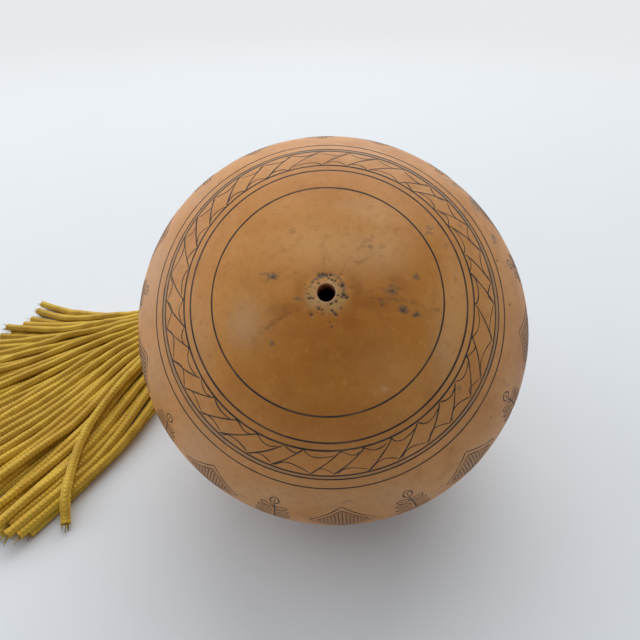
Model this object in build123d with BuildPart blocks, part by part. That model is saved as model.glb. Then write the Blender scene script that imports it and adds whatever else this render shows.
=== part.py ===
from build123d import *
from math import acos, cos, pi, radians, sin, sqrt, tan
import os

# Engraved round gourd with a tassel, lying on its belly with the blossom hole facing up and forward.
# Millimetres, +Z up. The origin is the middle of the small flat that the gourd lies on.

# Gourd shell
GOURD_R = 39.0          # belly radius, square to the stem axis
BLOSSOM_RISE = 35.0     # belly to blossom end, along the stem axis
STEM_DROP = 40.0        # belly to stem end, along the stem axis
WALL = 3.0
TIP_R = 7.0             # radius where the belly turns into the blossom cone
BLOSSOM_HOLE_R = 1.3
SCAR_R = 4.5            # sawn-off stem scar
AXIS_RISE = 47.4        # stem axis above the table, degrees
FLAT_DEPTH = 0.5        # depth of the flat on the belly
OVAL_STEPS = 8          # steps of each quarter of the oval section

# Hanger cord, its stop knot and the play around them
CORD_R = 1.2
HOLE_PLAY = 0.1         # around the cord in the stem hole
KNOT_R = 3.2
KNOT_LENGTH = 5.0
KNOT_ROUND = 1.4
KNOT_PLAY = 0.3         # knot to the inside of the shell
ROOT_OUT = 0.6          # cord standing out of the stem hole
BEND_PLAY = 0.3         # between the cord's free stretch and what it bends against
CORD_LEAD = 4.6         # last run, in line with the tassel's head
ARC_SHARE = 0.45        # share of a run that the bend at its end takes up

# Tassel head and neck
NECK_PLACE = Vector(-42.0, 45.0)
HEAD_TURN = 32.0        # head axis in plan, degrees from +X towards +Y
HEAD_R = 6.5
HEAD_LENGTH = 13.0
HEAD_TOP_R = 3.4
BULB_PLACE = 6.0        # neck to the widest ring of the head
NECK_R = 5.2
NECK_LENGTH = 7.0
TABLE_PLAY = 0.1        # under the soft pieces

# Neck binding, one wound thread
THREAD_R = 0.45
BINDING_TURNS = 4
THREAD_PLAY = 0.45      # between turns
BINDING_PLAY = 0.05     # thread to neck
BINDING_START = 0.9     # neck's lower end to the first turn

# Skirt of separate strands
STRAND_R = 1.0
STRANDS = 54
ROWS = 4                # layers in which the strands leave the neck
STRAND_PLAY = 0.19      # between neighbours where they leave the neck
ROW_PLAY = 0.1          # between layers there
ROOT_PLAY = 0.05        # strand root to the flare's face
FAN_START = 8.0         # plan angle of the first strand, degrees from -X towards -Y
FAN_SWEEP = 72.0
FAN_MARGIN = 4.0        # flare past the outer strands, degrees
FLARE_ROOT_R = 4.2      # half height of the flare inside the neck

# Guide strands of the fan: place in the fan from 0 to 1, then plan points out to the cut end
GUIDES = [
    (0.000, (-73.0, 43.0), (-89.0, 46.5), (-104.0, 53.0)),
    (0.135, (-72.0, 37.0), (-90.0, 36.0), (-109.0, 37.0)),
    (0.330, (-69.5, 29.5), (-87.0, 21.5), (-105.0, 13.0)),
    (0.560, (-63.5, 21.0), (-76.0, 6.0), (-92.0, -11.0)),
    (0.800, (-55.5, 13.4), (-63.3, -9.0), (-76.5, -29.0)),
    (0.910, (-51.0, 10.6), (-57.0, -12.0), (-67.4, -33.0)),
    (1.000, (-46.4, 9.2), (-49.7, -10.6), (-56.4, -25.6)),
]
# Height of each layer at the flare and at the three guide points, in layer pitches
ROW_LIFT = [(0, 0, 0, 0), (1, 0.85, 0.2, 0), (2, 1.8, 1.05, 0.9), (3, 2.65, 1.2, 0.9)]
ROW_ORDER = (0, 2, 1, 3)   # layers of neighbouring strands across the fan

# Sizes worked out from those above
rise = radians(AXIS_RISE)
blossom_way = Vector(0, -cos(rise), sin(rise))
stem_way = blossom_way * -1
reach_down = sqrt((STEM_DROP * sin(rise)) ** 2 + (GOURD_R * cos(rise)) ** 2)
lean = (STEM_DROP ** 2 - GOURD_R ** 2) * sin(rise) * cos(rise) / reach_down
gourd_centre = Vector(0, -lean, reach_down - FLAT_DEPTH)
gourd_axis = Axis(gourd_centre, blossom_way)
profile_plane = Plane(origin=gourd_centre, x_dir=(1, 0, 0), z_dir=(0, -sin(rise), -cos(rise)))

stem_hole_r = CORD_R + HOLE_PLAY
inner_r = GOURD_R - WALL
inner_rise = BLOSSOM_RISE - WALL
inner_drop = STEM_DROP - WALL


def height_on(radius, belly, half_height):
    """Height over the belly plane of an ellipse at one radius."""
    return half_height * sqrt(1 - (radius / belly) ** 2)


def oval(belly, half_height, end_radius):
    """Points of the oval section from the belly to one radius. The stem side has a negative half height."""
    step = acos(end_radius / belly) / OVAL_STEPS
    return [(belly * cos(step * k), half_height * sin(step * k)) for k in range(OVAL_STEPS + 1)]


tip_height = height_on(TIP_R, GOURD_R, BLOSSOM_RISE)
tip_slope = BLOSSOM_RISE ** 2 * TIP_R / (GOURD_R ** 2 * tip_height)
blossom_height = tip_height + tip_slope * (TIP_R - BLOSSOM_HOLE_R)
scar_height = height_on(SCAR_R, GOURD_R, STEM_DROP)
knot_height = height_on(KNOT_R, inner_r, inner_drop) - KNOT_PLAY
root_end = scar_height + ROOT_OUT
cord_start = gourd_centre + stem_way * (root_end + BEND_PLAY + CORD_R)

head_way = Vector(cos(radians(HEAD_TURN)), sin(radians(HEAD_TURN)))
head_height = HEAD_R + TABLE_PLAY
neck_centre = NECK_PLACE + Vector(0, 0, head_height)
head_axis = Axis(neck_centre, head_way)
head_plane = Plane(origin=neck_centre, x_dir=head_way, z_dir=head_way.cross(Vector(0, 0, 1)))
head_top = NECK_LENGTH + HEAD_LENGTH
cord_end = neck_centre + head_way * (head_top + BEND_PLAY + CORD_R)

row_pitch = 2 * STRAND_R + ROW_PLAY
start_pitch = radians(FAN_SWEEP * ROWS / (STRANDS - 1))
flare_r = (2 * STRAND_R + STRAND_PLAY) / start_pitch
strand_floor = TABLE_PLAY + STRAND_R
flare_top = TABLE_PLAY + ROWS * row_pitch
binding_r = NECK_R + BINDING_PLAY + THREAD_R
thread_pitch = 2 * THREAD_R + THREAD_PLAY

# Route of the hanger cord: out of the stem hole, down to the table, round to the tassel's head
CORD_ROUTE = [
    cord_start,
    Vector(0.0, 30.6, 4.7),
    Vector(0.9, 36.6, 2.1),
    Vector(0.7, 44.0, 1.4),
    Vector(-2.4, 51.5, 1.5),
    Vector(-8.0, 57.6, 2.7),
    Vector(-14.8, 60.4, 4.9),
    cord_end + head_way * CORD_LEAD,
    cord_end,
]


def bend_radii(points):
    """Largest arc that each corner of a limp route has room for."""
    radii = []
    for before, corner, after in zip(points, points[1:], points[2:]):
        shorter = min((corner - before).length, (after - corner).length)
        half_turn = radians((corner - before).get_angle(after - corner)) / 2
        radii.append(ARC_SHARE * shorter / tan(half_turn))
    return radii


def save(piece, name):
    piece.part.label = name
    export_step(piece.part, f"parts/{name}.step")


os.makedirs("parts", exist_ok=True)

# Gourd shell: hollow, with a cone at the blossom hole and a sawn stem scar
with BuildPart() as gourd_shell:
    with BuildSketch(profile_plane) as shell_section:
        with BuildLine() as shell_outline:
            stem_side = Spline(*oval(GOURD_R, -STEM_DROP, SCAR_R))
            blossom_side = Spline(*oval(GOURD_R, BLOSSOM_RISE, TIP_R))
            cone = Line(blossom_side @ 1, (BLOSSOM_HOLE_R, blossom_height))
            inner_blossom = Spline(*oval(inner_r, inner_rise, BLOSSOM_HOLE_R))
            inner_stem = Spline(*oval(inner_r, -inner_drop, stem_hole_r))
            Line(cone @ 1, inner_blossom @ 1)
            stem_hole = Line(inner_stem @ 1, (stem_hole_r, -scar_height))
            Line(stem_hole @ 1, stem_side @ 1)
        make_face()
    revolve(axis=gourd_axis)
    split(bisect_by=Plane.XY, keep=Keep.TOP)
save(gourd_shell, "gourd_shell")

# Stop knot inside the shell, too wide for the stem hole
with BuildPart() as stop_knot:
    with BuildSketch(profile_plane) as knot_section:
        with Locations((KNOT_R / 2, KNOT_LENGTH / 2 - knot_height)):
            Rectangle(KNOT_R, KNOT_LENGTH)
        fillet(knot_section.vertices().group_by(Axis.X)[-1], KNOT_ROUND)
    revolve(axis=gourd_axis)
save(stop_knot, "stop_knot")

# Cord root: the stretch of cord in the stem hole
with BuildPart() as cord_root:
    with BuildSketch(Plane(origin=gourd_centre + stem_way * knot_height, z_dir=stem_way)):
        Circle(CORD_R)
    extrude(amount=root_end - knot_height)
save(cord_root, "cord_root")

# Hanger cord: the free stretch, round at both ends where it bends
with BuildPart() as hanger_cord:
    with BuildLine():
        cord_path = FilletPolyline(*CORD_ROUTE, radius=bend_radii(CORD_ROUTE))
    with BuildSketch(Plane(origin=cord_path @ 0, z_dir=cord_path % 0)):
        Circle(CORD_R)
    sweep()
    with Locations(cord_path @ 0, cord_path @ 1):
        Sphere(CORD_R)
save(hanger_cord, "hanger_cord")
cord_length = cord_path.length
print("hanger cord length", round(cord_length, 1))
print("hanger cord bend radii", [round(radius, 1) for radius in bend_radii(CORD_ROUTE)])
cord_volume = pi * CORD_R ** 2 * cord_length + 4 / 3 * pi * CORD_R ** 3
print("hanger cord volume", round(hanger_cord.part.volume, 1), "expected", round(cord_volume, 1))

# Tassel head: strands folded over the cord, drawn in at the neck, opening into the flare of the skirt
with BuildPart() as tassel_head:
    with BuildSketch(head_plane) as head_section:
        with BuildLine() as head_outline:
            widest = (NECK_LENGTH + BULB_PLACE, HEAD_R)
            ball = CenterArc((0, 0), NECK_R, 180, -90)
            neck = Line(ball @ 1, (NECK_LENGTH, NECK_R))
            shoulder = TangentArc(widest, neck @ 1, tangent=(-1, 0))
            crown = TangentArc(widest, (head_top, HEAD_TOP_R), tangent=(1, 0))
            Polyline(crown @ 1, (head_top, 0), ball @ 0)
        make_face()
    revolve(axis=head_axis)
    flare_angle = radians(FAN_START - FAN_MARGIN)
    flare_way = Vector(-cos(flare_angle), -sin(flare_angle))
    flare_plane = Plane(origin=NECK_PLACE, x_dir=flare_way, z_dir=flare_way.cross(Vector(0, 0, 1)))
    with BuildSketch(flare_plane) as flare_section:
        with BuildLine() as flare_outline:
            Polyline(
                (0, head_height - FLARE_ROOT_R),
                (flare_r, TABLE_PLAY),
                (flare_r, flare_top),
                (0, head_height + FLARE_ROOT_R),
                close=True,
            )
        make_face()
    revolve(axis=Axis(NECK_PLACE, (0, 0, 1)), revolution_arc=FAN_SWEEP + 2 * FAN_MARGIN)
save(tassel_head, "tassel_head")


def winding_point(turns):
    """Point of the binding's thread after a number of turns."""
    angle = 2 * pi * turns
    around = head_plane.y_dir * cos(angle) + head_plane.z_dir * sin(angle)
    return neck_centre + head_way * (BINDING_START + thread_pitch * turns) + around * binding_r


def winding_way(turns):
    """Direction of the binding's thread after a number of turns."""
    angle = 2 * pi * turns
    around = head_plane.z_dir * cos(angle) - head_plane.y_dir * sin(angle)
    return (around * (2 * pi * binding_r) + head_way * thread_pitch).normalized()


def quarter_turn(start, start_way, end, end_way):
    """Two arcs of one quarter turn of thread, with one tangent where they meet."""
    chord = end - start
    ways = start_way + end_way
    spread = 2 * (1 - start_way.dot(end_way))
    step = (sqrt(chord.dot(ways) ** 2 + spread * chord.dot(chord)) - chord.dot(ways)) / spread
    before, after = start + start_way * step, end - end_way * step
    joint = (before + after) * 0.5
    TangentArc(start, joint, tangent=start_way)
    TangentArc(joint, end, tangent=(after - before).normalized())


# Neck binding: one thread wound round the neck, with straight ends
with BuildPart() as neck_binding:
    quarters = [turn / 4 for turn in range(4 * BINDING_TURNS + 1)]
    with BuildLine():
        first, first_way = winding_point(quarters[0]), winding_way(quarters[0])
        thread_start = Line(first - first_way * (2 * THREAD_R), first)
        for here, there in zip(quarters, quarters[1:]):
            quarter_turn(winding_point(here), winding_way(here), winding_point(there), winding_way(there))
        last, last_way = winding_point(quarters[-1]), winding_way(quarters[-1])
        Line(last, last + last_way * (2 * THREAD_R))
    with BuildSketch(Plane(origin=thread_start @ 0, z_dir=first_way)):
        Circle(THREAD_R)
    sweep()
save(neck_binding, "neck_binding")
per_turn = 48
samples = [winding_point(step / per_turn) for step in range(per_turn * BINDING_TURNS + 1)]
self_gap = min(
    (one - other).length
    for index, one in enumerate(samples)
    for other in samples[index + per_turn // 2:]
) - 2 * THREAD_R
print("neck binding least gap to itself", round(self_gap, 2))


def along_guides(place, column, axis):
    """One coordinate of a guide point, at a place between two guide strands."""
    for low, high in zip(GUIDES, GUIDES[1:]):
        if place <= high[0]:
            share = (place - low[0]) / (high[0] - low[0])
            return low[column][axis] + share * (high[column][axis] - low[column][axis])


def strand_points(index):
    """Route of one strand, from the flare to its cut end."""
    place = index / (STRANDS - 1)
    lift = ROW_LIFT[ROW_ORDER[index % ROWS]]
    angle = radians(FAN_START + FAN_SWEEP * place)
    outward = Vector(-cos(angle), -sin(angle))
    plan = [NECK_PLACE + outward * flare_r]
    for column in (1, 2, 3):
        plan.append(Vector(along_guides(place, column, 0), along_guides(place, column, 1)))
    points = [point + Vector(0, 0, strand_floor + row_pitch * up) for point, up in zip(plan, lift)]
    first_way = (points[1] - points[0]).normalized()
    slant = sqrt(1 - first_way.dot(outward) ** 2)
    points[0] += outward * (ROOT_PLAY + STRAND_R * slant)
    return points


# Strands of the skirt, laid out over the table as a fan
tightest = []
volume_shares = []
for index in range(STRANDS):
    route = strand_points(index)
    radii = bend_radii(route)
    tightest.append(min(radii))
    with BuildPart() as strand:
        with BuildLine():
            strand_path = FilletPolyline(*route, radius=radii)
        with BuildSketch(Plane(origin=strand_path @ 0, z_dir=strand_path % 0)):
            Circle(STRAND_R)
        sweep()
    save(strand, f"strand_{index + 1:02d}")
    expected = pi * STRAND_R ** 2 * strand_path.length
    volume_shares.append(strand.part.volume / expected)
print("strand bend radii from", round(min(tightest), 1), "over", STRANDS, "strands")
print("strand volumes over expected", round(min(volume_shares), 3), "to", round(max(volume_shares), 3))
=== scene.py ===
from functools import partialmethod
from math import acos, atan2, cos, hypot, pi, radians, sin, sqrt, tau
import random

import bpy
import numpy as np
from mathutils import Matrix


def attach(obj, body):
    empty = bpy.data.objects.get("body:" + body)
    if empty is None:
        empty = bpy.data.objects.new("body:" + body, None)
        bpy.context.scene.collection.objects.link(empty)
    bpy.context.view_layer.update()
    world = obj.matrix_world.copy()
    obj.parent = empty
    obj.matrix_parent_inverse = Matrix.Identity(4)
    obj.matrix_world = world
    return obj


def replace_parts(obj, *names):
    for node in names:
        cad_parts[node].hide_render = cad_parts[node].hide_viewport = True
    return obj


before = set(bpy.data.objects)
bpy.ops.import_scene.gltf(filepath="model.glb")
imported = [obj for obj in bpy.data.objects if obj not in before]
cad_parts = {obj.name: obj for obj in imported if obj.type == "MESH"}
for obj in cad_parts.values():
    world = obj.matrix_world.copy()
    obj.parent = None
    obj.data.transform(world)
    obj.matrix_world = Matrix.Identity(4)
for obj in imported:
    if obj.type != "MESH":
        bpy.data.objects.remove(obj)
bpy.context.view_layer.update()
scene = bpy.context.scene

# Sizes in millimetres, as in the solids. Meshes are written in metres.
MM = 0.001
GOURD_R, RISE, DROP, WALL = 39.0, 35.0, 40.0, 3.0
TIP_R, HOLE_R, SCAR_R, FLAT_DEPTH = 7.0, 1.3, 4.5, 0.5
TILT = radians(47.4)
AXIS = np.array([0.0, -cos(TILT), sin(TILT)])
SIDE = np.array([1.0, 0.0, 0.0])
BACK = np.cross(AXIS, SIDE)
REACH = hypot(DROP * sin(TILT), GOURD_R * cos(TILT))
LEAN = (DROP ** 2 - GOURD_R ** 2) * sin(TILT) * cos(TILT) / REACH
CENTRE = np.array([0.0, -LEAN, REACH - FLAT_DEPTH])

# Engraving: radii of the ring lines round the hole, width of a line, depth of its groove, one full wave
RINGS = (17.3, 21.15, 22.35, 26.35, 27.0, 28.5)
LINE, GROOVE = 0.3, 0.07
WAVE = 6.28

# Cord, and the head of the tassel
CORD_R, CORD_LAY, PLIES = 1.2, 7.0, 3
ROOT_OUT, BEND_PLAY = 0.6, 0.3
NECK = np.array([-42.0, 45.0, 6.6])
HEAD_TURN = radians(32.0)
HEAD_WAY = np.array([cos(HEAD_TURN), sin(HEAD_TURN), 0.0])
HEAD_ACROSS = np.array([sin(HEAD_TURN), -cos(HEAD_TURN), 0.0])
UP = np.array([0.0, 0.0, 1.0])
HEAD_TOP = 20.0
NECK_R, BINDING_START = 5.2, 0.9
THREAD_R, THREAD_LOOPS, THREAD_STEP = 0.45, 6, 0.92

# Skirt: a fan of strands in rows. Each guide line has its share of the fan and three places along it.
STRAND_R, STRANDS, ROWS = 1.0, 54, 4
FAN_START, FAN_SWEEP = 8.0, 72.0
FLARE_R = 2.19 / radians(FAN_SWEEP * ROWS / (STRANDS - 1))
GUIDES = [
    (0.0, (-73.0, 43.0), (-89.0, 46.5), (-104.0, 53.0)),
    (0.135, (-72.0, 37.0), (-90.0, 36.0), (-109.0, 37.0)),
    (0.33, (-69.5, 29.5), (-87.0, 21.5), (-105.0, 13.0)),
    (0.56, (-63.5, 21.0), (-76.0, 6.0), (-92.0, -11.0)),
    (0.8, (-55.5, 13.4), (-63.3, -9.0), (-76.5, -29.0)),
    (0.91, (-51.0, 10.6), (-57.0, -12.0), (-67.4, -33.0)),
    (1.0, (-46.4, 9.2), (-49.7, -10.6), (-56.4, -25.6)),
]
ROW_LIFT = [(0, 0, 0, 0), (1, 0.85, 0.2, 0), (2, 1.8, 1.05, 0.9), (3, 2.65, 1.2, 0.9)]
ROW_ORDER = (0, 2, 1, 3)
LAYER, FLOOR_GAP = 2.1, 0.1
WALES, COURSES, STITCH_STEPS, STRAND_SIDES = 5, 1.1, 3, 15


# Shader helpers

class Value:
    """A node's output, to calculate with like a number."""

    def __init__(self, node, key=0):
        self.socket, self.tree = node.outputs[key], node.id_data

    def calc(self, operation, other=0.0):
        return Value(put(self.tree, "Math", {0: self, 1: other}, operation=operation))

    __add__ = partialmethod(calc, "ADD")
    __sub__ = partialmethod(calc, "SUBTRACT")
    __mul__ = partialmethod(calc, "MULTIPLY")
    __pow__ = partialmethod(calc, "POWER")
    __abs__ = partialmethod(calc, "ABSOLUTE")

    def __rsub__(self, other):
        return Value(put(self.tree, "Math", {0: other, 1: self}, operation="SUBTRACT"))

    def span(self, low, high):
        """A soft step from 0 at the low value to 1 at the high one."""
        return Value(put(self.tree, "MapRange", {0: self, 1: low, 2: high}, interpolation_type="SMOOTHSTEP"))

    def arches(self):
        """Arches from 0 to 1 and back, one for each unit."""
        return abs((self * pi).calc("SINE"))

    def parts(self):
        """The first two numbers of a vector."""
        split = put(self.tree, "SeparateXYZ", {0: self})
        return Value(split), Value(split, 1)

    def noise(self, scale, detail=3.0, rough=0.55):
        inputs = {"Vector": self, "Scale": scale, "Detail": detail, "Roughness": rough}
        return Value(put(self.tree, "TexNoise", inputs), "Fac")

    def mix(self, first, second):
        """The first colour where this is 0, the second where it is 1."""
        return Value(put(self.tree, "Mix", {0: self, 6: first, 7: second}, data_type="RGBA"), 2)


def plug(node, inputs):
    """Links values to a node's inputs, and sets numbers and opaque colours."""
    for key, value in inputs.items():
        socket = node.inputs[key]
        if isinstance(value, Value):
            node.id_data.links.new(value.socket, socket)
        else:
            socket.default_value = (*value, 1.0) if socket.type == "RGBA" else value


def put(tree, kind, inputs, **settings):
    node = tree.nodes.new("ShaderNode" + kind)
    for key, value in settings.items():
        setattr(node, key, value)
    plug(node, inputs)
    return node


def painted(tree, name):
    """A value stored at the points of the mesh."""
    return Value(put(tree, "Attribute", {}, attribute_name=name), "Fac")


def coordinates(tree, kind):
    return Value(put(tree, "TexCoord", {}), kind)


def bump(height, strength, distance):
    return Value(put(height.tree, "Bump", {"Strength": strength, "Distance": distance, "Height": height}))


def layered(colour, layers):
    """A colour with others laid over it, each by its share."""
    for share, shade in layers:
        colour = share.mix(colour, shade)
    return colour


def material(name):
    made = bpy.data.materials.new(name)
    made.use_nodes = True
    return made, made.node_tree, made.node_tree.nodes["Principled BSDF"]


def group(name, inputs, outputs, kind, calculation):
    """A node group that calculates its outputs from coordinates and the values given to it."""
    tree = bpy.data.node_groups.new(name, "ShaderNodeTree")
    for keys, direction in ((inputs, "INPUT"), (outputs, "OUTPUT")):
        for key in keys:
            tree.interface.new_socket(key, in_out=direction, socket_type="NodeSocketFloat")
    start, end = tree.nodes.new("NodeGroupInput"), tree.nodes.new("NodeGroupOutput")
    results = calculation(coordinates(tree, kind), *(Value(start, key) for key in inputs))
    plug(end, dict(zip(outputs, results)))
    return tree


def knitted(where, wales, courses):
    """Knitted chain stitch: wales round a strand, courses to the millimetre along it."""
    turn, along = where.parts()
    edge = abs((turn * wales).calc("FRACT") - 0.5) * 2.0
    stitch = (along * courses + edge * 0.6).arches() ** 0.6 * (1.0 - edge ** 3.0)
    return stitch, 1.0 - stitch


def twisted(where, count, pitch):
    """Twisted threads: how many go round, and how many pass in each millimetre along."""
    turn, along = where.parts()
    thread = (turn * count + along * pitch).arches()
    return thread, 1.0 - thread


def fibrous(where, large, small):
    return where.noise(large).span(0.35, 0.65), where.noise(small, 2.0)


def rubbed(where, wear):
    return where.noise(260.0, 4.0).span(0.38, 0.72) * wear, where.noise(2400.0, 2.0)


KNIT = group("knit", ("Wales", "Courses"), ("Height", "Shaded Gap"), "UV", knitted)
TWIST = group("twist", ("Round", "Along"), ("Height", "Shaded Gap"), "UV", twisted)
FIBRE = group("fibre", ("Patch Scale", "Fibre Scale"), ("Patch", "Fibre"), "Object", fibrous)
WEAR = group("wear", ("Wear",), ("Rubbed", "Grain"), "Object", rubbed)
CHAINETTE = {"Wales": WALES, "Courses": COURSES}
TWISTED = {"Round": 4.0, "Along": 2.2}


def yarn_material(name, light, deep, lay, counts):
    made, tree, shader = material(name)
    threads = put(tree, "Group", counts, node_tree=lay)
    shades = put(tree, "Group", {"Patch Scale": 140.0, "Fibre Scale": 2600.0}, node_tree=FIBRE)
    fibre = Value(shades, "Fibre")
    layers = (
        (painted(tree, "tone") * 0.6, deep),
        # Painted shade: the yarn is darker in the gaps between its loops and threads
        (Value(threads, "Shaded Gap") * 0.45, (deep[0] * 0.45, deep[1] * 0.4, deep[2] * 0.5)),
        (fibre.span(0.5, 0.8) * 0.25, (0.72, 0.53, 0.12)),
    )
    plug(shader, {
        "Base Color": layered(Value(shades, "Patch").mix(light, deep), layers),
        "Roughness": fibre * 0.22 + 0.48,
        "Normal": bump(Value(threads, "Height") + fibre * 0.3, 0.7, 0.00016),
        "Specular IOR Level": 0.25, "Sheen Weight": 0.2, "Sheen Roughness": 0.4,
        "Sheen Tint": (1.0, 0.78, 0.25),
    })
    return made


def shell_material():
    made, tree, shader = material("gourd_skin")
    where = coordinates(tree, "Object")
    broad = where.noise(48.0, 4.0).span(0.32, 0.68)
    middle = where.noise(210.0, 5.0, 0.6)
    mottle = where.noise(120.0, 5.0, 0.65)
    grain = where.noise(750.0, 6.0, 0.7)
    fine = where.noise(1500.0)
    cork, dark = painted(tree, "cork"), painted(tree, "dark")
    cap = broad.mix((0.55, 0.23, 0.04), (0.48, 0.18, 0.024))
    belly = broad.mix((0.575, 0.262, 0.08), (0.515, 0.218, 0.056))
    soil = grain + (painted(tree, "smudge") * 0.42 - 0.17)
    pits = (dark + (grain - 0.5) * 1.6).span(0.25, 0.8) * dark.span(0.04, 0.3)
    # From the lowest layer up
    layers = (
        (middle.span(0.45, 0.72) * 0.4, (0.4, 0.15, 0.03)),
        (mottle.span(0.5, 0.72) * 0.3, (0.62, 0.32, 0.115)),
        # Stains, and painted shade that darkens the lower half of the cap
        (painted(tree, "stain_and_shade") * (broad * 0.38 + 0.62), (0.318, 0.101, 0.007)),
        # Chalky dust, and painted reflection: a pale haze at the edges of the belly, chiefly low down
        (painted(tree, "chalk_and_reflection") * (middle * 0.8 + 0.35), (0.53, 0.335, 0.185)),
        # Bleached skin, and painted light that makes the upper half of the cap lighter
        (painted(tree, "bleach_and_light") * (middle * 0.9 + 0.55), (0.7, 0.37, 0.14)),
        (grain.span(0.5, 0.68) * 0.3, (0.33, 0.118, 0.022)),
        (grain.span(0.46, 0.3) * 0.22, (0.68, 0.345, 0.105)),
        (painted(tree, "crease") * grain.span(0.42, 0.62), (0.17, 0.075, 0.025)),
        (cork * middle.span(0.2, 0.5), (0.5, 0.295, 0.12)),
        (soil.span(0.5, 0.72) * 0.72, (0.125, 0.092, 0.06)),
        (pits * 0.88, (0.055, 0.043, 0.029)),
        # Pale worn lip of the hole, and one painted highlight
        (painted(tree, "worn_rim_and_highlight") * 0.7, (0.62, 0.47, 0.3)),
        (painted(tree, "bore"), (0.4, 0.165, 0.085)),
        (painted(tree, "inside"), (0.11, 0.055, 0.025)),
    )
    plug(shader, {
        "Base Color": layered(painted(tree, "belly").mix(cap, belly), layers),
        "Roughness": middle * 0.22 + 0.38 + cork * 0.3,
        "Normal": bump(middle + fine * 0.25, 0.22, 0.0002),
        "Specular IOR Level": 0.22, "Coat Weight": 0.05 - cork * 0.05, "Coat Roughness": 0.4,
    })
    return made


def ink_material(name, dark, worn, wear):
    """Filling of the engraved lines, rubbed off in places."""
    made, tree, shader = material(name)
    filling = put(tree, "Group", {"Wear": wear}, node_tree=WEAR)
    grain = Value(filling, "Grain")
    plug(shader, {
        "Base Color": Value(filling, "Rubbed").mix(dark, worn),
        "Roughness": grain * 0.25 + 0.5, "Normal": bump(grain, 0.3, 0.00005), "Specular IOR Level": 0.3,
    })
    return made


SKIN = shell_material()
INK = ink_material("black_fill", (0.02, 0.015, 0.012), (0.16, 0.085, 0.04), 0.55)
CHALK_FILL = ink_material("chalk_fill", (0.29, 0.205, 0.13), (0.46, 0.225, 0.085), 0.8)
PALE_INK = ink_material("worn_fill", (0.06, 0.042, 0.03), (0.27, 0.14, 0.065), 0.7)
GOLD = yarn_material("golden_chainette", (0.72, 0.475, 0.046), (0.5, 0.292, 0.022), KNIT, CHAINETTE)
CORD_GOLD = yarn_material("golden_cord", (0.7, 0.45, 0.043), (0.55, 0.32, 0.025), TWIST, TWISTED)
THREAD_GOLD = yarn_material("golden_thread", (0.66, 0.41, 0.038), (0.5, 0.28, 0.022), TWIST, TWISTED)


# Mesh helpers

def place_object(name, data):
    thing = bpy.data.objects.new(name, data)
    scene.collection.objects.link(thing)
    return thing


def piece(name, points, faces, made, body, values=None, uvs=None):
    """A smooth mesh from points in millimetres, on its body."""
    mesh = bpy.data.meshes.new(name)
    mesh.from_pydata((np.asarray(points) * MM).tolist(), [], faces)
    for key, numbers in (values or {}).items():
        layer = mesh.attributes.new(key, "FLOAT", "POINT")
        layer.data.foreach_set("value", np.ascontiguousarray(numbers, dtype=np.float32))
    if uvs is not None:
        layer = mesh.uv_layers.new(name="UVMap")
        layer.data.foreach_set("uv", np.ascontiguousarray(uvs, dtype=np.float32).ravel())
    mesh.polygons.foreach_set("use_smooth", [True] * len(mesh.polygons))
    mesh.materials.append(made)
    mesh.update()
    thing = place_object(name, mesh)
    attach(thing, body)
    return thing


def spline_points(route, resolution=24):
    """A smooth line that has the route's points as its control points."""
    curve = bpy.data.curves.new("route", "CURVE")
    curve.dimensions = "3D"
    spline = curve.splines.new("NURBS")
    spline.points.add(len(route) - 1)
    for point, place in zip(spline.points, route):
        point.co = (*place, 1.0)
    spline.order_u, spline.use_endpoint_u, spline.resolution_u = 3, True, resolution
    thing = place_object("route", curve)
    bpy.context.view_layer.update()
    mesh = bpy.data.meshes.new_from_object(thing.evaluated_get(bpy.context.evaluated_depsgraph_get()))
    points = np.array([vertex.co for vertex in mesh.vertices])
    bpy.data.meshes.remove(mesh)
    bpy.data.objects.remove(thing)
    bpy.data.curves.remove(curve)
    return points


def normed(vectors):
    return vectors / np.linalg.norm(vectors, axis=-1, keepdims=True)


def full_turn(count):
    return np.linspace(0.0, tau, count, endpoint=False)


def circle(turn, first, second):
    """Directions round a circle, from the first by way of the second."""
    return first * np.cos(turn)[..., None] + second * np.sin(turn)[..., None]


def distances(points):
    """The distance along a line at each of its points."""
    return np.concatenate([[0.0], np.cumsum(np.linalg.norm(np.diff(points, axis=0), axis=1))])


def evenly(points, count):
    """The same line with evenly spaced points, and the distance along it."""
    run = distances(points)
    marks = np.linspace(0.0, run[-1], count)
    return np.stack([np.interp(marks, run, points[:, axis]) for axis in range(3)], axis=1), marks


def frames(points):
    """Two directions square to a line, without twist, and the line's own."""
    ways = normed(np.gradient(points, axis=0))
    normals = [normed(np.cross(ways[0], UP if abs(ways[0][2]) < 0.9 else SIDE))]
    for way in ways[1:]:
        normals.append(normed(normals[-1] - way * np.dot(normals[-1], way)))
    normals = np.array(normals)
    return normals, np.cross(ways, normals), ways


def quads(first, rows, columns, ring, closed):
    """Faces between rows of points. Rows can be rings, and the last row can be joined to the first."""
    faces = []
    for row in range(rows if closed else rows - 1):
        here, there = first + row * columns, first + (row + 1) % rows * columns
        for step in range(columns if ring else columns - 1):
            after = (step + 1) % columns
            faces.append((here + step, here + after, there + after, there + step))
    return faces


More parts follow.
